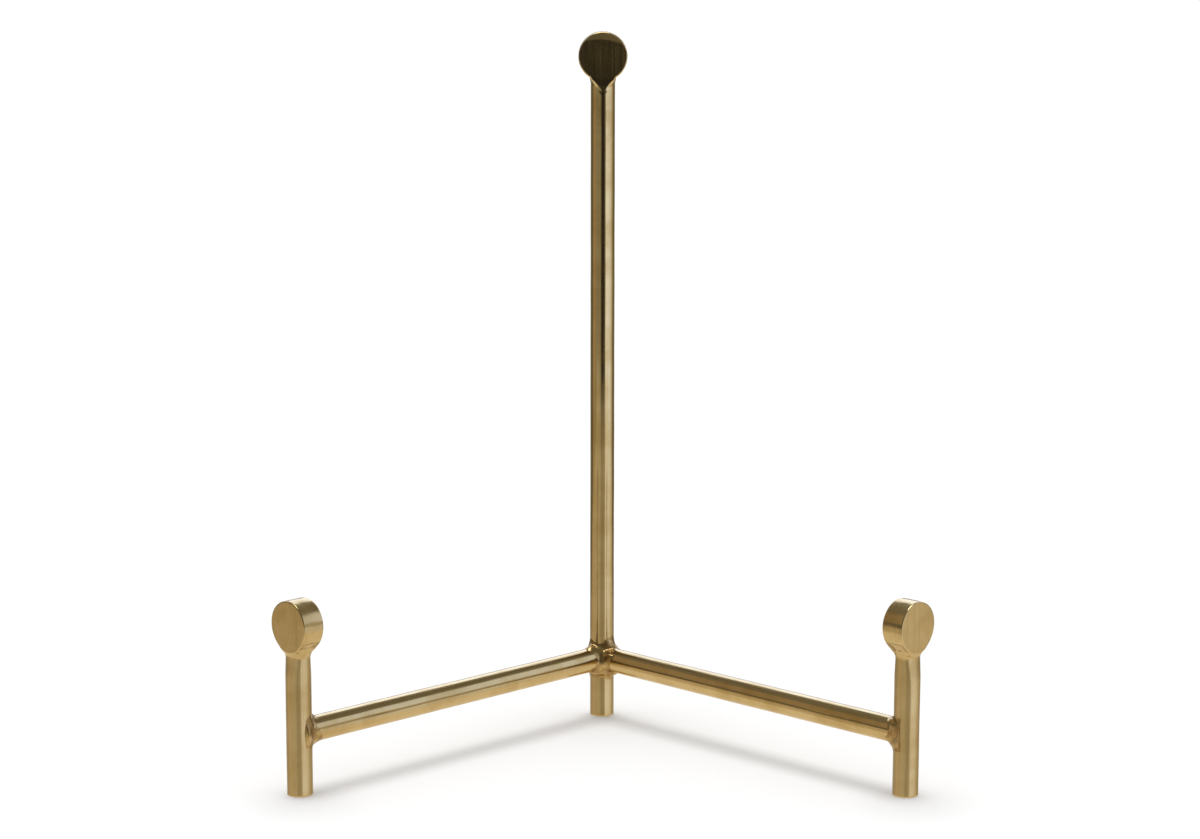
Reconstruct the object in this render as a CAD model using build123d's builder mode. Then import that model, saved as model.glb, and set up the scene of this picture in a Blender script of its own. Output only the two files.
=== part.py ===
"""Tabletop display easel, welded from round bar.

A tall rear post and two short front posts stand on the floor. Two level arms
run from the rear post to the front posts, at a right angle to each other in
plan. Each post ends in a thick disc that stands on its rim, ground flush
with the neck below it. A plate or picture stands on the arms, its foot held
by the two front discs and its back against the bevel of the rear disc.

Frame: +Z up, -Y towards the viewer, +X to the viewer's right, origin on the
floor at the middle of the outline. Every solid is built where it belongs.
"""

from build123d import *
import math
import os

# ---- driving dimensions, in millimetres and degrees ----
BAR_D = 10.0  # round bar of the posts and arms
OVERALL_HEIGHT = 286.0  # floor to the top of the rear disc
FRONT_HEIGHT = 76.5  # floor to the top of the front discs
ARM_HEIGHT = 24.5  # floor to the arms' axes
ARM_REACH = 164.0  # rear post's axis to a front post's axis
ARM_SPREAD = 90.0  # angle between the two arms in plan
DISC_D = 20.0
DISC_T = 9.6
FOOT_ROUND = 0.5  # softened edge under each foot

BEVEL_HEIGHT = 3.4  # ground bevel at the top of the rear disc's front face
BEVEL_ANGLE = 18.0  # how far that bevel leans back from the face

UPPER_WELD_RADIUS = 2.2  # fillets where an arm meets a post, above the arm
LOWER_WELD_RADIUS = 2.8  # and below it
WELD_ROOT = 0.1  # how far every fillet starts inside the surfaces it joins
REAR_NECK_FILLET = 3.6  # fillet round the bar, up to the rear disc's rim
FRONT_NECK_FILLET = 4.8  # and up to a front disc's rim
GRIND_RUN = 3.0  # the ground flats run out on the bar this far below the disc
ROOT_GAP = 0.4  # weld metal between a post's square end and the disc's rim

# ---- derived sizes and places ----
BAR_R = BAR_D / 2
DISC_R = DISC_D / 2
HALF_T = DISC_T / 2
REAR_DISC_HEIGHT = OVERALL_HEIGHT - DISC_R  # to the disc's middle
FRONT_DISC_HEIGHT = FRONT_HEIGHT - DISC_R

ARM_ANGLE = math.radians(ARM_SPREAD / 2)  # each arm from straight ahead
FRONT_X = ARM_REACH * math.sin(ARM_ANGLE)
FRONT_RUN = ARM_REACH * math.cos(ARM_ANGLE)
DISC_REACH = HALF_T * math.cos(ARM_ANGLE) + DISC_R * math.sin(ARM_ANGLE)
REAR_Y = (FRONT_RUN + DISC_REACH - BAR_R) / 2
FRONT_Y = REAR_Y - FRONT_RUN

REAR_FOOT = Vector(0, REAR_Y, 0)
AHEAD = Vector(0, -1, 0)
UP = Vector(0, 0, 1)
SIDES = {"left": -1, "right": 1}


def arm_direction(side):
    """Unit vector from the rear post towards a front post."""
    return Vector(side * math.sin(ARM_ANGLE), -math.cos(ARM_ANGLE), 0)


def front_foot(side):
    """Point on the floor at the axis of a front post."""
    return Vector(side * FRONT_X, FRONT_Y, 0)


def floor_plane(foot, facing):
    """Plane on the floor at a post, its own Y along the way the disc faces."""
    return Plane(origin=foot, x_dir=facing.cross(UP), z_dir=UP)


def profile_plane(foot, facing):
    """Upright plane through a post, X along the way its disc faces, Y up."""
    return Plane(origin=foot, x_dir=facing, z_dir=facing.cross(UP))


def face_plane(foot, facing):
    """Upright plane through a post and its disc's middle, Y up."""
    return Plane(origin=foot, x_dir=UP.cross(facing), z_dir=facing)


def grinding_slab(foot, facing, disc_height):
    """Space between the two ground faces, which run out on the bar's surface."""
    top = disc_height + DISC_D
    neck = disc_height - DISC_R
    run_out = neck - GRIND_RUN
    with BuildPart() as slab:
        with BuildSketch(profile_plane(foot, facing)):
            Polygon(
                (HALF_T, top),
                (-HALF_T, top),
                (-HALF_T, neck),
                (-BAR_R, run_out),
                (-BAR_R, 0),
                (BAR_R, 0),
                (BAR_R, run_out),
                (HALF_T, neck),
                align=None,
            )
        extrude(amount=DISC_D, both=True)
    return slab.part


def make_bar(start, direction, length):
    """Plain round bar, used as stock and to cut its neighbours to shape."""
    with BuildPart() as bar:
        with BuildSketch(Plane(origin=start, z_dir=direction)):
            Circle(BAR_R)
        extrude(amount=length)
    return bar.part


def make_post(foot, facing, disc_height):
    """Round bar from the floor to the disc's rim, with ground flats at its top."""
    with BuildPart() as post:
        with BuildSketch(floor_plane(foot, facing)):
            Circle(BAR_R)
        extrude(amount=disc_height - DISC_R - ROOT_GAP)
        fillet(post.faces().sort_by(Axis.Z)[0].edges(), FOOT_ROUND)
        add(grinding_slab(foot, facing, disc_height), mode=Mode.INTERSECT)
    return post


def make_disc(foot, facing, disc_height):
    """Thick disc standing on its rim on top of a post."""
    with BuildPart() as disc:
        with BuildSketch(face_plane(foot + UP * disc_height, facing)):
            Circle(DISC_R)
        extrude(amount=HALF_T, both=True)
    return disc


def make_rear_disc(foot, facing, disc_height):
    """The same disc with a bevel ground across the top of its front face."""
    rise = 2 * BEVEL_HEIGHT
    depth = rise * math.tan(math.radians(BEVEL_ANGLE))
    start = disc_height + DISC_R - BEVEL_HEIGHT
    with BuildPart() as disc:
        add(make_disc(foot, facing, disc_height).part)
        with BuildSketch(profile_plane(foot, facing)):
            Polygon(
                (HALF_T, start),
                (HALF_T, start + rise),
                (HALF_T - depth, start + rise),
                align=None,
            )
        extrude(amount=DISC_D, both=True, mode=Mode.SUBTRACT)
    return disc


def make_arm(side):
    """Level arm, its ends coped to the posts and mitred against the other arm."""
    with BuildPart() as arm:
        add(make_bar(REAR_FOOT + UP * ARM_HEIGHT, arm_direction(side), ARM_REACH))
        for foot in (REAR_FOOT, front_foot(side)):
            add(make_bar(foot, UP, 2 * ARM_HEIGHT), mode=Mode.SUBTRACT)
        split(bisect_by=Plane.YZ, keep=Keep.TOP if side > 0 else Keep.BOTTOM)
    return arm


def make_joint_fillet(foot, direction, radius):
    """Stubs of a post and an arm, with a fillet run round the joint between them.

    The arm's stub is a hair thinner than the bar, so that the fillet closes
    beside the arm, where the two bars would otherwise only touch.
    """
    with BuildPart() as joint:
        with BuildSketch(Plane(origin=foot + UP * (ARM_HEIGHT - BAR_D), z_dir=UP)):
            Circle(BAR_R)
        extrude(amount=2 * BAR_D)
        with BuildSketch(Plane(origin=foot + UP * ARM_HEIGHT, z_dir=direction)):
            Circle(BAR_R - WELD_ROOT)
        extrude(amount=2 * BAR_D)
        fillet(joint.edges(Select.NEW).filter_by(GeomType.BSPLINE), radius)
    return joint.part


def make_arm_weld(foot, direction, radius, above, neighbours):
    """Weld metal on top of an arm where it meets a post, or underneath it."""
    side_plane = Plane.YZ if foot.X + direction.X > 0 else -Plane.YZ
    level_plane = Plane.XY.offset(ARM_HEIGHT)
    with BuildPart() as weld:
        add(make_joint_fillet(foot, direction, radius))
        add(neighbours, mode=Mode.SUBTRACT)
        split(bisect_by=level_plane if above else -level_plane)
        split(bisect_by=side_plane)
    return weld


def make_neck_weld(foot, facing, disc_height, fillet_radius, neighbours):
    """Weld metal between a post's square end and its disc's rim.

    It fills the corner round the bar with a fillet and is ground flush with
    the disc's two faces.
    """
    bar_r = BAR_R - WELD_ROOT
    disc_r = DISC_R - WELD_ROOT
    centre_x = bar_r + fillet_radius
    drop = math.sqrt((disc_r + fillet_radius) ** 2 - centre_x**2)
    rim_share = disc_r / (disc_r + fillet_radius)
    bar_tangent = (bar_r, disc_height - drop)
    rim_tangent = (centre_x * rim_share, disc_height - drop * rim_share)

    with BuildPart() as weld:
        with BuildSketch(face_plane(foot, facing)):
            with BuildLine():
                Polyline(rim_tangent, (0, rim_tangent[1]), (0, bar_tangent[1]), bar_tangent)
                RadiusArc(bar_tangent, rim_tangent, fillet_radius)
            make_face()
        revolve(axis=Axis(foot, UP))
        add(grinding_slab(foot, facing, disc_height), mode=Mode.INTERSECT)
        add(neighbours, mode=Mode.SUBTRACT)
    return weld


def save(piece, name):
    """Label a finished piece and write it as its own file."""
    piece.part.label = name
    export_step(piece.part, f"parts/{name}.step")
    print(f"{name}: {piece.part.volume:.2f} mm3, solids: {len(piece.part.solids())}")


def save_arm_welds(name, foot, direction, neighbours):
    """The weld beads above and below an arm where it meets a post."""
    for level, radius in (("upper", UPPER_WELD_RADIUS), ("lower", LOWER_WELD_RADIUS)):
        bead = make_arm_weld(foot, direction, radius, level == "upper", neighbours)
        save(bead, f"{name}_{level}_weld")


os.makedirs("parts", exist_ok=True)

# ---- rear post and its disc ----
rear_post = make_post(REAR_FOOT, AHEAD, REAR_DISC_HEIGHT)
rear_disc = make_rear_disc(REAR_FOOT, AHEAD, REAR_DISC_HEIGHT)
rear_neck = [rear_post.part, rear_disc.part]
rear_neck_weld = make_neck_weld(
    REAR_FOOT, AHEAD, REAR_DISC_HEIGHT, REAR_NECK_FILLET, rear_neck
)
save(rear_post, "rear_post")
save(rear_disc, "rear_disc")
save(rear_neck_weld, "rear_neck_weld")

# ---- each arm with its front post and disc, which faces outwards ----
for name, side in SIDES.items():
    foot = front_foot(side)
    outward = arm_direction(side)
    arm = make_arm(side)
    post = make_post(foot, outward, FRONT_DISC_HEIGHT)
    disc = make_disc(foot, outward, FRONT_DISC_HEIGHT)
    neck_weld = make_neck_weld(
        foot, outward, FRONT_DISC_HEIGHT, FRONT_NECK_FILLET, [post.part, disc.part]
    )
    save(arm, f"{name}_arm")
    save(post, f"{name}_front_post")
    save(disc, f"{name}_front_disc")
    save(neck_weld, f"{name}_neck_weld")
    save_arm_welds(f"{name}_front", foot, -outward, [post.part, arm.part])
    save_arm_welds(f"{name}_rear", REAR_FOOT, outward, [rear_post.part, arm.part])
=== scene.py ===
"""Looks of a brass-finish display easel, welded from round bar and ground by hand.

Every surface is the zero level of a signed distance: round bars and thick
discs, blended where they are welded and cut flat where they were ground.
Each mesh is found by following rays out from inside the metal. Lengths are
metres in the easel's own frame: +Z up, -Y to the front.
"""

import bmesh
import bpy
import math
import numpy as np
from mathutils import Matrix, Vector


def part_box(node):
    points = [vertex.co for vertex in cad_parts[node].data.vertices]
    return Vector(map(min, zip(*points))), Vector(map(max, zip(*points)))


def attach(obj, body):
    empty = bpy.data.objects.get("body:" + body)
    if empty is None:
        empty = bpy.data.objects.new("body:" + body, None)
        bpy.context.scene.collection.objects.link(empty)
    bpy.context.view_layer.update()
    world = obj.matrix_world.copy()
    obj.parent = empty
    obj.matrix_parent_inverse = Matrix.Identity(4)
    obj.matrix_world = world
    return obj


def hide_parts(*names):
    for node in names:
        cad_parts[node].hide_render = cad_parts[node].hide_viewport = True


MM = 0.001

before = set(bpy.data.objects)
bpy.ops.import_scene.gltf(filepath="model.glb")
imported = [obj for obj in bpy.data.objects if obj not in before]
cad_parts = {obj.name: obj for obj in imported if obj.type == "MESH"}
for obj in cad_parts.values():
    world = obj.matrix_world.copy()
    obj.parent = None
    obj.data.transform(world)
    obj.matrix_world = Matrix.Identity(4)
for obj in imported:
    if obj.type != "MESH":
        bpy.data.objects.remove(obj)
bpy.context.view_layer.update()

# ---- sizes and places, from the CAD nodes ----
UP = np.array([0.0, 0.0, 1.0])
AHEAD = np.array([0.0, -1.0, 0.0])
SIDES = ("left", "right")


def corners(node):
    low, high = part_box(node)
    return np.array(low), np.array(high)


def middle(node):
    low, high = corners(node)
    return (low + high) / 2


def span(node):
    low, high = corners(node)
    return high - low


def foot_of(post):
    return middle(post) * [1, 1, 0]


BAR_R = span("rear_post")[0] / 2
DISC_R = span("rear_disc")[0] / 2
HALF_T = span("rear_disc")[1] / 2
ARM_Z = middle("left_arm")[2]
REAR_FOOT = foot_of("rear_post")


def front_foot(side):
    return foot_of(f"{side}_front_post")


def outward(side):
    way = front_foot(side) - REAR_FOOT
    return way / np.linalg.norm(way)


# ---- signed distances; points are rows of an (n, 3) array ----
def smooth_step(low, high, value):
    t = np.clip((value - low) / (high - low), 0, 1)
    return t * t * (3 - 2 * t)


def fillet(a, b, reach, bead=0.0):
    """The lower of two distances, filled in where they are within reach, and raised by a bead."""
    h = np.maximum(reach - np.abs(a - b), 0) / reach
    return np.minimum(a, b) - h * h * (reach / 4 + bead)


def smooth_max(a, b, reach):
    return -fillet(-a, -b, reach)


def past_line(x, y, start, end):
    """How far past the line from start to end, in a plane."""
    run = end[0] - start[0]
    rise = end[1] - start[1]
    return ((x - start[0]) * rise - (y - start[1]) * run) / math.hypot(run, rise)


class Lumps:
    """Smooth uneven relief: a sum of plane waves in seeded directions."""

    def __init__(self, seed, size, waves=14):
        rng = np.random.default_rng(seed)
        ways = rng.normal(size=(waves, 3))
        ways /= np.linalg.norm(ways, axis=1)[:, None]
        self.ways = ways * rng.uniform(0.6, 1.6, (waves, 1)) * 2 * math.pi / size
        self.phases = rng.uniform(0, 2 * math.pi, waves)
        self.scale = math.sqrt(2 / waves)

    def __call__(self, points):
        return np.sin(points @ self.ways.T + self.phases).sum(axis=1) * self.scale


PROBES = 24  # places tried along a ray, to find where it first leaves the metal
HALVINGS = 22  # and how often that stretch is halved


def follow(distance, starts, ways, reach):
    """Where rays from inside the metal leave it."""
    low = np.zeros(len(starts))
    high = np.full(len(starts), reach)
    places = np.linspace(0, reach, PROBES + 1)
    done = np.zeros(len(starts), bool)
    for near, far in zip(places, places[1:]):
        outside = distance(starts + ways * far) > 0
        hit = outside & ~done
        low[hit] = near
        high[hit] = far
        done |= outside
    for _ in range(HALVINGS):
        half = (low + high) / 2
        inside = distance(starts + ways * half[:, None]) < 0
        low = np.where(inside, half, low)
        high = np.where(inside, high, half)
    return starts + ways * ((low + high) / 2)[:, None]


# ---- the welded metal ----
ARM_BLEND = 3.3 * MM  # reach of the weld fillet at an arm's end
HUB_BLEND = 4.6 * MM  # and where both arms meet the rear post
REAR_NECK_BLEND = 1.6 * MM  # softness of the weld between the rear disc and its post
FRONT_NECK_BLEND = 3.8 * MM  # reach of the weld fillet under a front disc
EDGE_BLEND = 0.55 * MM  # rounding of every ground edge
SINK = 0.012 * MM  # how far a piece dips under its neighbour where they merge

WAVES = Lumps(3, 26 * MM)  # the bars were drawn and ground, not machined
DRESSING = Lumps(5, 9 * MM)  # hand grinding of the discs
BEADS = Lumps(8, 7.0 * MM)  # uneven weld metal
FINE_BEADS = Lumps(4, 3.5 * MM)  # under the front discs
GRIND_OFFSET = 2.5  # added to the lumps, so that grinding all but never adds metal
WAVE_HEIGHT = 0.018 * MM
DRESSING_HEIGHT = 0.022 * MM
BEAD_HEIGHT = 0.2 * MM
NECK_BEAD_HEIGHT = 0.07 * MM
BLEND_UNEVENNESS = 0.14  # share of a fillet's reach that comes and goes

FACE_RUN_OUT = 22.0  # per metre: below a disc its ground faces open 0.2 mm in 3 mm
BEVEL_LEAN = math.radians(18)
BEVEL_START = 3.0 * MM  # below the top of the rear disc, in its middle
BEVEL_TILT = 0.065  # the bevel's lower edge falls to one side
BEVEL_ARC = 22.5  # per metre: and curves down towards both
BEVEL_EDGE = 0.12 * MM
# the rear neck's weld, from its shoulder to its tip: half across, and below the disc's middle
REAR_NECK_OUTLINE = [(5.3 * MM, 8.4 * MM), (4.7 * MM, 9.6 * MM), (0.0, 13.1 * MM)]

JOINT_R = 12.5 * MM  # a joint's piece ends this far from the middle of its post
ARM_END_STEEPNESS = 3  # keeps an arm's end from showing behind the post


def bar(points, start, direction):
    """To the surface of an endless round bar."""
    arm = points - start
    off_axis = arm - np.outer(arm @ direction, direction)
    return np.linalg.norm(off_axis, axis=1) - BAR_R + WAVE_HEIGHT * (GRIND_OFFSET + WAVES(points))


def dressed(points):
    """How much hand grinding took off a disc."""
    return DRESSING_HEIGHT * (GRIND_OFFSET + DRESSING(points))


class Head:
    """A disc on its post, in axes at the disc's middle. The two front ones have a soft neck."""

    def __init__(self, post, disc, facing):
        self.foot = foot_of(post)
        self.centre = self.foot + UP * (corners(disc)[1][2] - DISC_R)
        self.facing = facing
        self.side = np.cross(UP, facing)

    def local(self, points):
        """Across the face, out of the face and up, from the disc's middle."""
        arm = points - self.centre
        return arm @ self.side, arm @ self.facing, arm @ UP

    def ground(self, points):
        """The two ground faces, which run out on the bar below the neck."""
        _, out, up = self.local(points)
        run = np.maximum(-up - DISC_R, 0)
        return np.abs(out) - HALF_T - run * run * FACE_RUN_OUT + dressed(points)

    def neck(self, points, round_bar, rim):
        """The bar and the disc, with a fillet of weld between them."""
        return fillet(round_bar, rim, FRONT_NECK_BLEND, NECK_BEAD_HEIGHT * FINE_BEADS(points))

    def edge(self, up):
        """Rounding of the ground edges, which fade out down the neck."""
        fade = smooth_step(0.9 * DISC_R, 1.2 * DISC_R, -up)
        return EDGE_BLEND + 0.7 * FRONT_NECK_BLEND * fade

    def disc(self, points):
        across, _, up = self.local(points)
        rim = np.hypot(across, up) - DISC_R + dressed(points)
        return smooth_max(rim, self.ground(points), EDGE_BLEND)

    def post(self, points):
        """The bar from the floor up, and the neck, which dips under the disc."""
        across, _, up = self.local(points)
        reach = np.hypot(across, up)
        metal = self.neck(points, bar(points, self.foot, UP), reach - DISC_R)
        metal = smooth_max(metal, self.ground(points), self.edge(up))
        metal = smooth_max(metal, -points[:, 2], EDGE_BLEND)
        under_disc = 1 - smooth_step(0.88 * DISC_R, 0.93 * DISC_R, reach)
        return metal + SINK * under_disc


class RearHead(Head):
    """The rear disc has a bevel ground on its upper front edge, and a pointed weld below."""

    def ground(self, points):
        across, out, up = self.local(points)
        drop = BEVEL_TILT * across + BEVEL_ARC * across * across
        past_start = up - (DISC_R - BEVEL_START) + drop
        bevel = (out - HALF_T) * math.cos(BEVEL_LEAN) + past_start * math.sin(BEVEL_LEAN)
        return smooth_max(super().ground(points), bevel + dressed(points), BEVEL_EDGE)

    def neck(self, points, round_bar, rim):
        """The bar, and filler with straight shoulders that meet in a tip."""
        across, _, up = self.local(points)
        lines = zip(REAR_NECK_OUTLINE, REAR_NECK_OUTLINE[1:])
        shoulder, tongue = [past_line(np.abs(across), -up, *ends) for ends in lines]
        weld = smooth_max(np.maximum(shoulder, tongue), up + 0.5 * DISC_R, REAR_NECK_BLEND)
        weld = weld + NECK_BEAD_HEIGHT * BEADS(points)
        return np.minimum(fillet(np.maximum(round_bar, up), weld, REAR_NECK_BLEND), rim)

    def edge(self, up):
        return EDGE_BLEND


REAR_HEAD = RearHead("rear_post", "rear_disc", AHEAD)
FRONT_HEADS = {side: Head(f"{side}_front_post", f"{side}_front_disc", outward(side)) for side in SIDES}


def joint_distance(foot, directions, reach):
    """Post and arms at one joint, with the weld metal that blends them."""
    centre = foot + UP * ARM_Z

    def distance(points):
        metal = bar(points, foot, UP)
        for direction in directions:
            behind = -(points - centre) @ direction
            arm = np.maximum(bar(points, centre, direction), ARM_END_STEEPNESS * behind)
            blend = reach * (1 + BLEND_UNEVENNESS * BEADS(points))
            metal = fillet(metal, arm, blend, BEAD_HEIGHT * BEADS(points))
        cut = np.linalg.norm((points - centre)[:, :2], axis=1) - JOINT_R
        return np.maximum(metal + SINK, cut)

    return distance


# ---- meshes ----
MERGE_DISTANCE = 0.001 * MM
BAR_COUNT = 128  # points round a bar
DISC_COUNT = 220
JOINT_COUNT = 288
BAR_STEP = 1.6 * MM  # between rings along a bar
NECK_STEP = 0.14 * MM
NECK_RUN = 6 * MM  # the neck's piece starts this far below the disc
FOOT_FAN_Z = 2 * MM  # where the rays to a foot's rounded edge start
# degrees below level, closest together at the edge
FOOT_FAN = (80, 60, 42, 32, 28, 26, 24, 22.5, 21, 19, 17, 14, 10, 5)
DISC_INSET = 1.6 * MM  # from a disc's surface in to the ring that its rays start from
FIRST_FACE_RING = 0.4 * MM
FACE_STEP = 0.35 * MM
RIM_STEP = 0.4 * MM
JOINT_FAN = 50  # degrees of tilt that a joint's rays fan out to
JOINT_FAN_STEP = 0.9
JOINT_CLIMB = 7 * MM  # and how far they then start up and down the post
JOINT_CLIMB_STEP = 0.25 * MM
ARM_GAP = 0.2 * MM  # between an arm's end and the post's surface, inside the joint
LONGEST_RAY = {"post": 14 * MM, "disc": 6 * MM, "joint": 16 * MM, "arm": 8 * MM}


def ring_mesh(name, rows, poles):
    """A closed mesh from rings of points, each end closed to a pole."""
    count = len(rows[0])
    points = [tuple(poles[0])] + [tuple(p) for row in rows for p in row] + [tuple(poles[1])]
    last_row = 1 + (len(rows) - 1) * count
    faces = []
    for i in range(count):
        j = (i + 1) % count
        faces.append((0, 1 + j, 1 + i))
        faces.append((len(points) - 1, last_row + i, last_row + j))
        for near in range(1, last_row, count):
            far = near + count
            faces.append((near + i, near + j, far + j, far + i))
    mesh = bpy.data.meshes.new(name)
    mesh.from_pydata(points, [], faces)
    shape = bmesh.new()
    shape.from_mesh(mesh)
    bmesh.ops.remove_doubles(shape, verts=shape.verts, dist=MERGE_DISTANCE)
    bmesh.ops.recalc_face_normals(shape, faces=shape.faces)
    for face in shape.faces:
        face.smooth = len(face.verts) == 4
        if not face.smooth:
            for edge in face.edges:
                edge.smooth = False
    shape.to_mesh(mesh)
    shape.free()
    piece = bpy.data.objects.new(name, mesh)
    bpy.context.scene.collection.objects.link(piece)
    return piece


def spokes_round(across, other, count):
    turn = np.arange(count) * 2 * math.pi / count
    return np.cos(turn)[:, None] * across + np.sin(turn)[:, None] * other


def tube(distance, base, axis, across, stations, count, reach):
    """Rings of points round an axis; a station is (place along it, tilt of its rays)."""
    spokes = spokes_round(across, np.cross(axis, across), count)
    rows = []
    for place, tilt in stations:
        ways = spokes * math.cos(tilt) + axis * math.sin(tilt)
        starts = np.repeat((base + axis * place)[None], count, axis=0)
        rows.append(follow(distance, starts, ways, reach))
    return rows


def spread(low, high, step):
    return list(np.linspace(low, high, max(2, round((high - low) / step) + 1)))


def make_post(name, head, neck_name):
    """Two pieces: the bar from its rounded foot up, and the neck under the disc."""
    neck_start = head.centre[2] - DISC_R - NECK_RUN
    neck_top = head.centre[2] - 0.6 * DISC_R
    lower = [(FOOT_FAN_Z, -math.radians(angle)) for angle in FOOT_FAN]
    lower += [(z, 0.0) for z in spread(FOOT_FAN_Z, neck_start, BAR_STEP)]
    upper = [(z, 0.0) for z in spread(neck_start, neck_top, NECK_STEP)[1:]]
    rows = tube(head.post, head.foot, UP, head.side, lower + upper, BAR_COUNT, LONGEST_RAY["post"])
    seam = len(lower) - 1
    heights = (rows[0][:, 2].min(), rows[seam][:, 2].mean(), rows[-1][:, 2].mean())
    bottom, join, top = [head.foot + UP * z for z in heights]
    post = ring_mesh(f"{name}_bar", rows[:seam + 1], (bottom, join))
    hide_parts(name)
    neck = ring_mesh(f"{neck_name}_ground", rows[seam:], (join, top))
    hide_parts(neck_name)
    return post, neck


def make_disc(node, head):
    """Thick disc: rays leave an inner ring towards one face, the rim, then the other face."""
    inner_r = DISC_R - DISC_INSET
    inner_t = HALF_T - DISC_INSET
    face = spread(FIRST_FACE_RING, inner_r, FACE_STEP)
    stations = [(r, inner_t, 90.0) for r in face]
    stations += [(inner_r, inner_t, angle) for angle in range(85, 4, -4)]
    stations += [(inner_r, t, 0.0) for t in spread(-inner_t, inner_t, RIM_STEP)[::-1]]
    stations += [(inner_r, -inner_t, -angle) for angle in range(5, 90, 4)]
    stations += [(r, -inner_t, -90.0) for r in face[::-1]]
    spokes = spokes_round(head.side, UP, DISC_COUNT)
    rows = []
    for r, t, angle in stations:
        tilt = math.radians(angle)
        starts = head.centre + spokes * r + head.facing * t
        ways = spokes * math.cos(tilt) + head.facing * math.sin(tilt)
        rows.append(follow(head.disc, starts, ways, LONGEST_RAY["disc"]))
    disc = ring_mesh(f"{node}_ground", rows, (rows[0].mean(axis=0), rows[-1].mean(axis=0)))
    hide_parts(node)
    return disc


def make_joint(name, foot, directions, nodes, reach):
    """The weld metal round one joint, from a fan of rays out of its middle."""
    steepest = math.radians(JOINT_FAN)
    upper = [(0.0, math.radians(angle)) for angle in spread(0, JOINT_FAN, JOINT_FAN_STEP)]
    upper += [(z, steepest) for z in spread(0, JOINT_CLIMB, JOINT_CLIMB_STEP)[1:]]
    lower = [(-z, -tilt) for z, tilt in reversed(upper[1:])]
    distance = joint_distance(foot, directions, reach)
    centre = foot + UP * ARM_Z
    rows = tube(distance, centre, UP, -AHEAD, lower + upper, JOINT_COUNT, LONGEST_RAY["joint"])
    poles = [foot + UP * row[:, 2].mean() for row in (rows[0], rows[-1])]
    weld = ring_mesh(name, rows, poles)
    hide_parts(*nodes)
    return weld


def make_arm(side):
    """Round bar between the surfaces of the two posts."""
    direction = outward(side)
    start = REAR_FOOT + UP * ARM_Z
    near = BAR_R + ARM_GAP
    far = np.linalg.norm(front_foot(side) - REAR_FOOT) - BAR_R - ARM_GAP

    def distance(points):
        return bar(points, start, direction)

    stations = [(place, 0.0) for place in spread(near, far, BAR_STEP)]
    rows = tube(distance, start, direction, UP, stations, BAR_COUNT, LONGEST_RAY["arm"])
    arm = ring_mesh(f"{side}_arm_bar", rows, (start + direction * near, start + direction * far))
    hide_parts(f"{side}_arm")
    return arm


# ---- nodes of materials and of the world ----
def feed(tree, socket, value):
    """Link another node's output to a socket, or set the socket's own value."""
    if isinstance(value, bpy.types.NodeSocket):
        tree.links.new(value, socket)
    else:
        socket.default_value = value


def math_node(tree, kind, *values):
    made = tree.nodes.new("ShaderNodeMath")
    made.operation = kind
    for socket, value in zip(made.inputs, values):
        feed(tree, socket, value)
    return made.outputs[0]


def colour_mix(tree, share, a, b):
    made = tree.nodes.new("ShaderNodeMix")
    made.data_type = "RGBA"
    sockets = [made.inputs["Factor"]] + [i for i in made.inputs if i.type == "RGBA"]
    for socket, value in zip(sockets, (share, a, b)):
        feed(tree, socket, value)
    return [o for o in made.outputs if o.type == "RGBA"][0]


def shader_mix(tree, share, a, b):
    made = tree.nodes.new("ShaderNodeMixShader")
    feed(tree, made.inputs[0], share)
    tree.links.new(a, made.inputs[1])
    tree.links.new(b, made.inputs[2])
    return made.outputs[0]


def remap_node(tree, value, low, high, to_low=0.0, to_high=1.0):
    made = tree.nodes.new("ShaderNodeMapRange")
    made.interpolation_type = "SMOOTHSTEP"
    keys = ("Value", "From Min", "From Max", "To Min", "To Max")
    for key, number in zip(keys, (value, low, high, to_low, to_high)):
        feed(tree, made.inputs[key], number)
    return made.outputs["Result"]


# ---- materials ----
GOLD = (0.63, 0.495, 0.26, 1.0)
DEEP_GOLD = (0.54, 0.40, 0.18, 1.0)
OLIVE = (0.42, 0.33, 0.15, 1.0)
AMBER = (0.36, 0.23, 0.09, 1.0)
# brown of the welds' heat marks and pits, and of the painted shade in their hollows
HEAT_BROWN_AND_SHADE = (0.19, 0.11, 0.05, 1.0)
ACROSS_GRAIN = 2600.0  # noise scale of the grinding streaks across a bar
ALONG_GRAIN = 45.0  # and along it
BAND_SCALE = (0.22, 0.22, 0.22)  # of the streaks' scale


class Shader:
    """A material's node tree, built link by link."""

    def __init__(self, name):
        self.material = bpy.data.materials.new(name)
        self.material.use_nodes = True
        self.tree = self.material.node_tree
        self.surface = self.tree.nodes["Principled BSDF"]

    def node(self, kind, **inputs):
        made = self.tree.nodes.new(kind)
        for key, value in inputs.items():
            feed(self.tree, made.inputs[key.replace("_", " ")], value)
        return made

    def noise(self, coords, scale, detail, rough=0.5):
        made = self.node("ShaderNodeTexNoise", Vector=coords, Scale=scale, Detail=detail, Roughness=rough)
        return made.outputs["Fac"]

    def stretched(self, coords, scale):
        return self.node("ShaderNodeMapping", Vector=coords, Scale=scale).outputs["Vector"]

    def remap(self, value, low, high, to_low, to_high):
        return remap_node(self.tree, value, low, high, to_low, to_high)

    def mix(self, share, a, b):
        return colour_mix(self.tree, share, a, b)

    def add(self, a, b):
        return math_node(self.tree, "ADD", a, b)

    def times(self, a, b):
        return math_node(self.tree, "MULTIPLY", a, b)

    def bump(self, height, strength, distance):
        made = self.node("ShaderNodeBump", Height=height, Strength=strength, Distance=distance)
        return made.outputs["Normal"]

    def metal(self, tint, rough, normal, coat, coat_roughness):
        values = {"Base Color": tint, "Metallic": 1.0, "Roughness": rough, "Normal": normal}
        for key, value in values.items():
            feed(self.tree, self.surface.inputs[key], value)
        self.surface.inputs["Coat Weight"].default_value = coat
        self.surface.inputs["Coat Roughness"].default_value = coat_roughness
        return self.material


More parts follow.
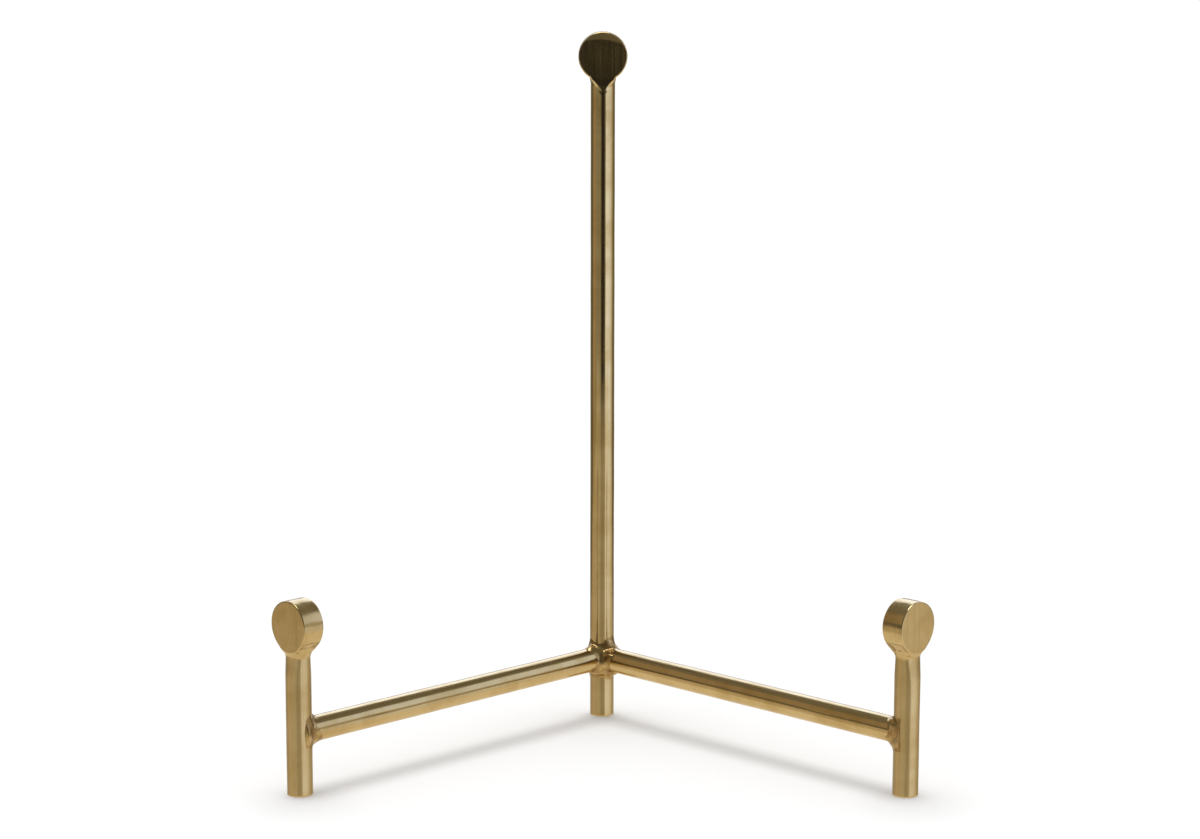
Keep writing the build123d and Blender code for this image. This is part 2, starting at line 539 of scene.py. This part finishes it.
def brushed_brass(name, turn=0.0, level=False, roughness=0.13, stain=0.25, relief=0.012 * MM):
    """Brass finish with grinding streaks along the bar, soft stains and dark specks."""
    s = Shader(name)
    place = s.node("ShaderNodeTexCoord").outputs["Object"]
    turned = s.node("ShaderNodeMapping", Vector=place, Rotation=(0, 0, turn)).outputs["Vector"]
    if level:
        grain = (ACROSS_GRAIN, ALONG_GRAIN, ACROSS_GRAIN)
    else:
        grain = (ACROSS_GRAIN, ACROSS_GRAIN, ALONG_GRAIN)
    streaks = s.stretched(turned, grain)
    streak = s.noise(streaks, scale=1.0, detail=3.0, rough=0.6)
    band = s.noise(s.stretched(streaks, BAND_SCALE), scale=1.0, detail=2.0)
    cloud = s.noise(place, scale=70.0, detail=4.0, rough=0.6)
    speck = s.noise(place, scale=900.0, detail=3.0, rough=0.7)
    tint = s.mix(s.remap(cloud, 0.35, 0.7, 0, 1), GOLD, DEEP_GOLD)
    tint = s.mix(s.remap(band, 0.52, 0.75, 0, stain), tint, OLIVE)
    tint = s.mix(s.remap(speck, 0.66, 0.78, 0, 0.35), tint, OLIVE)
    rough = s.remap(streak, 0.3, 0.7, roughness * 0.8, roughness * 1.35)
    rough = s.add(rough, s.remap(cloud, 0.4, 0.7, 0, 0.06))
    height = s.add(s.times(streak, 0.7), s.times(band, 0.5))
    normal = s.bump(height, strength=0.35, distance=relief)
    return s.metal(tint, rough, normal, coat=0.12, coat_roughness=0.12)


def ground_weld(name):
    """The same metal where it was welded: pitted, with brown heat marks, and painted shade that darkens
    its hollows towards brown.
    """
    s = Shader(name)
    place = s.node("ShaderNodeTexCoord").outputs["Object"]
    pointiness = s.node("ShaderNodeNewGeometry").outputs["Pointiness"]
    cloud = s.noise(place, scale=260.0, detail=5.0, rough=0.65)
    pits = s.noise(place, scale=1500.0, detail=3.0, rough=0.6)
    # painted shade: hollow places, found from pointiness, are darkened towards brown, partly as heat
    # marks and partly as shade
    hollow_shade = s.remap(pointiness, 0.40, 0.52, 1, 0)
    tint = s.mix(s.remap(cloud, 0.38, 0.62, 0, 1), DEEP_GOLD, AMBER)
    tint = s.mix(s.times(hollow_shade, s.remap(cloud, 0.3, 0.55, 0.6, 1)), tint, HEAT_BROWN_AND_SHADE)
    tint = s.mix(s.remap(pits, 0.6, 0.72, 0, 0.8), tint, HEAT_BROWN_AND_SHADE)
    rough = s.remap(cloud, 0.35, 0.7, 0.18, 0.36)
    height = s.add(cloud, s.times(pits, 0.35))
    normal = s.bump(height, strength=0.5, distance=0.05 * MM)
    return s.metal(tint, rough, normal, coat=0.08, coat_roughness=0.2)


# ---- the easel ----
def dress(piece, material):
    piece.data.materials.append(material)
    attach(piece, "root")


def weld_nodes(side, end):
    return [f"{side}_{end}_{level}_weld" for level in ("upper", "lower")]


def build_heads():
    """The three posts, each with its neck and its disc."""
    rear_brass = brushed_brass("post_brass", roughness=0.11)
    front_brass = brushed_brass("front_post_brass", roughness=0.2, stain=0.35)
    disc_brass = brushed_brass("disc_brass", roughness=0.17, stain=0.5, relief=0.02 * MM)
    heads = [("rear_post", "rear_neck_weld", "rear_disc", REAR_HEAD, rear_brass)]
    for side in SIDES:
        names = (f"{side}_front_post", f"{side}_neck_weld", f"{side}_front_disc")
        heads.append((*names, FRONT_HEADS[side], front_brass))
    for post_name, neck_name, disc_name, head, brass in heads:
        post, neck = make_post(post_name, head, neck_name)
        dress(post, brass)
        dress(neck, brass)
        dress(make_disc(disc_name, head), disc_brass)


def build_arms():
    """The two arms, and the welds at both of their ends."""
    weld_brass = ground_weld("weld_brass")
    for side in SIDES:
        way = outward(side)
        turn = -math.atan2(way[0], -way[1])
        dress(make_arm(side), brushed_brass(f"{side}_arm_brass", turn=turn, level=True))
        nodes = weld_nodes(side, "front")
        joint = make_joint(f"{side}_front_joint", front_foot(side), [-way], nodes, ARM_BLEND)
        dress(joint, weld_brass)
    nodes = [node for side in SIDES for node in weld_nodes(side, "rear")]
    hub = make_joint("rear_joint", REAR_FOOT, [outward(side) for side in SIDES], nodes, HUB_BLEND)
    dress(hub, weld_brass)


build_heads()
build_arms()

# ---- what the metal reflects ----
DIM = (1.0, 0.91, 0.70)
PALE = (0.98, 1.06, 1.3)
TAN = (1.0, 0.88, 0.69)
BROWN = (1.0, 0.76, 0.46)

# rings of the room, at one height each: bearing in degrees from the front, light, hue
FRONT_GAP = [(-12, 0.03, DIM), (14, 0.03, DIM), (19, 0.2, DIM), (24, 0.08, DIM)]
LOW_RING = (
    [(-180, 0.3, DIM), (-112, 0.14, DIM), (-98, 0.46, BROWN), (-80, 0.46, BROWN)]
    + [(-62, 0.35, DIM), (-30, 0.35, DIM), (-16, 0.27, DIM)]
    + FRONT_GAP
    + [(30, 1.15, PALE), (60, 1.1, PALE), (84, 0.9, PALE), (93, 0.7, TAN)]
    + [(103, 0.66, TAN), (112, 0.18, DIM), (180, 0.3, DIM)]
)
HORIZON_RING = (
    [(-180, 0.3, DIM), (-120, 0.14, DIM), (-30, 0.14, DIM)]
    + FRONT_GAP
    + [(35, 0.5, TAN), (100, 0.5, TAN), (120, 0.2, DIM), (180, 0.3, DIM)]
)
MIDDLE_RING = (
    [(-180, 1.6, PALE), (-150, 1.5, PALE), (-132, 0.36, BROWN), (-84, 0.36, BROWN)]
    + [(-56, 0.2, DIM), (-12, 0.1, DIM)]
    + [(30, 0.2, DIM), (60, 0.85, PALE), (112, 0.85, PALE), (126, 0.3, DIM)]
    + [(148, 1.5, PALE), (180, 1.6, PALE)]
)
HIGH_RING = [(-180, 0.2, DIM), (180, 0.2, DIM)]
FLOOR_RING = [(-180, 1.0, TAN), (180, 1.0, TAN)]
# above the floor ring, each ring fades in between two heights, in degrees
RINGS = [(-28, -20, LOW_RING), (-4, 0, HORIZON_RING), (8, 12, MIDDLE_RING), (38, 43, HIGH_RING)]


def shone(light, hue):
    return (*(light * part for part in hue), 1.0)


def ring_node(tree, turn, stops):
    """A ramp round the room; the first and last stops are at its ends."""
    made = tree.nodes.new("ShaderNodeValToRGB")
    tree.links.new(turn, made.inputs[0])
    elements = made.color_ramp.elements
    elements[0].color = shone(*stops[0][1:])
    elements[1].color = shone(*stops[-1][1:])
    for bearing, light, hue in stops[1:-1]:
        stop = elements.new(bearing / 360 + 0.5)
        stop.color = shone(light, hue)
    return made.outputs[0]


def room_colour(tree):
    """The light seen in a direction, from its bearing and its height."""
    way = tree.nodes.new("ShaderNodeTexCoord").outputs["Generated"]
    split = tree.nodes.new("ShaderNodeSeparateXYZ")
    tree.links.new(way, split.inputs[0])
    front = math_node(tree, "MULTIPLY", split.outputs["Y"], -1.0)
    bearing = math_node(tree, "ARCTAN2", split.outputs["X"], front)
    turn = math_node(tree, "MULTIPLY_ADD", bearing, 0.5 / math.pi, 0.5)
    colour = ring_node(tree, turn, FLOOR_RING)
    for low, high, stops in RINGS:
        heights = [math.sin(math.radians(angle)) for angle in (low, high)]
        above = remap_node(tree, split.outputs["Z"], *heights)
        colour = colour_mix(tree, above, colour, ring_node(tree, turn, stops))
    return colour


# ---- studio ----
PAPER = (0.93, 0.93, 0.93, 1.0)
SURROUNDINGS = (0.74, 0.74, 0.74, 1.0)  # what lights the floor
BACKDROP = (1.2, 1.2, 1.2, 1.0)  # what the camera sees
FLOOR_SIZE = (40.0, 40.0)
GLOSS_SIZE = (1.2, 0.8)
GLOSS_CENTRE = (0, -0.1, -0.001)
GLOSS_LIGHT = 0.8
OVERHEAD = (0, 0, 1)  # the point that both sheets face
LAMP_POWER = 1.25
LAMP_ANGLE = math.radians(34)
LAMP_WAY = (0.04, -0.16, -1)


def paper():
    material = bpy.data.materials.new("white_paper")
    material.use_nodes = True
    surface = material.node_tree.nodes["Principled BSDF"]
    surface.inputs["Base Color"].default_value = PAPER
    surface.inputs["Roughness"].default_value = 0.9
    surface.inputs["Specular IOR Level"].default_value = 0.1
    return material


def table_glow():
    """Half of what lies behind it, and a warm glow, as a table top shows in the metal."""
    material = bpy.data.materials.new("table_gloss")
    material.use_nodes = True
    tree = material.node_tree
    tree.nodes.clear()
    glow = tree.nodes.new("ShaderNodeEmission")
    glow.inputs["Color"].default_value = shone(GLOSS_LIGHT, TAN)
    clear = tree.nodes.new("ShaderNodeBsdfTransparent")
    out = tree.nodes.new("ShaderNodeOutputMaterial")
    tree.links.new(shader_mix(tree, 0.5, clear.outputs[0], glow.outputs[0]), out.inputs["Surface"])
    return material


def sheet(name, centre, size, material):
    """A flat sheet that faces the point overhead."""
    x = size[0] / 2
    y = size[1] / 2
    mesh = bpy.data.meshes.new(name)
    mesh.from_pydata([(-x, -y, 0), (x, -y, 0), (x, y, 0), (-x, y, 0)], [], [(0, 1, 2, 3)])
    mesh.materials.append(material)
    made = bpy.data.objects.new(name, mesh)
    bpy.context.scene.collection.objects.link(made)
    made.rotation_mode = "QUATERNION"
    made.rotation_quaternion = (Vector(OVERHEAD) - Vector(centre)).to_track_quat("Z", "Y")
    made.location = centre
    return made


def lay_floor():
    """White paper for the eye, and a table top that only the metal reflects."""
    floor = sheet("floor", (0, 0, 0), FLOOR_SIZE, paper())
    floor.visible_glossy = False
    gloss = sheet("table_gloss", GLOSS_CENTRE, GLOSS_SIZE, table_glow())
    gloss.visible_camera = False
    gloss.visible_shadow = False
    gloss.visible_diffuse = False


def hang_lamp():
    lamp = bpy.data.lights.new("overhead_softbox", "SUN")
    lamp.energy = LAMP_POWER
    lamp.angle = LAMP_ANGLE
    light = bpy.data.objects.new("overhead_softbox", lamp)
    bpy.context.scene.collection.objects.link(light)
    light.rotation_mode = "QUATERNION"
    light.rotation_quaternion = Vector(LAMP_WAY).to_track_quat("-Z", "Y")


def background(tree, colour):
    made = tree.nodes.new("ShaderNodeBackground")
    feed(tree, made.inputs["Color"], colour)
    return made.outputs[0]


def make_world():
    """The room for reflections, plain grey for the floor's light, and white for the eye."""
    world = bpy.data.worlds.new("studio")
    world.use_nodes = True
    tree = world.node_tree
    tree.nodes.clear()
    path = tree.nodes.new("ShaderNodeLightPath")
    room = background(tree, room_colour(tree))
    lit = shader_mix(tree, path.outputs["Is Glossy Ray"], background(tree, SURROUNDINGS), room)
    seen = shader_mix(tree, path.outputs["Is Camera Ray"], lit, background(tree, BACKDROP))
    out = tree.nodes.new("ShaderNodeOutputWorld")
    tree.links.new(seen, out.inputs["Surface"])
    bpy.context.scene.world = world
    bpy.context.scene.view_settings.view_transform = "Standard"


# ---- camera ----
SENSOR_MM = 36.0
LENS_MM = 87.4
NEAREST_SEEN = 0.05
FARTHEST_SEEN = 30.0
EYE_FROM_REAR_FOOT = (-4.1 * MM, -1193.2 * MM, 328.3 * MM)
PITCH = math.radians(9.62)  # down
YAW = math.radians(0.15)  # to the right
ROLL = math.radians(-0.09)


def place_camera():
    """Straight ahead of the easel, a little above it, looking slightly down."""
    data = bpy.data.cameras.new("camera")
    data.sensor_width = SENSOR_MM
    data.lens = LENS_MM
    data.clip_start = NEAREST_SEEN
    data.clip_end = FARTHEST_SEEN
    eye = bpy.data.objects.new("camera", data)
    bpy.context.scene.collection.objects.link(eye)
    eye.location = Vector(REAR_FOOT) + Vector(EYE_FROM_REAR_FOOT)
    eye.rotation_mode = "XYZ"
    turn = Matrix.Rotation(-YAW, 3, "Z") @ Matrix.Rotation(math.pi / 2 - PITCH, 3, "X")
    eye.rotation_euler = (turn @ Matrix.Rotation(-ROLL, 3, "Z")).to_euler()
    bpy.context.scene.camera = eye


lay_floor()
hang_lamp()
make_world()
place_camera()
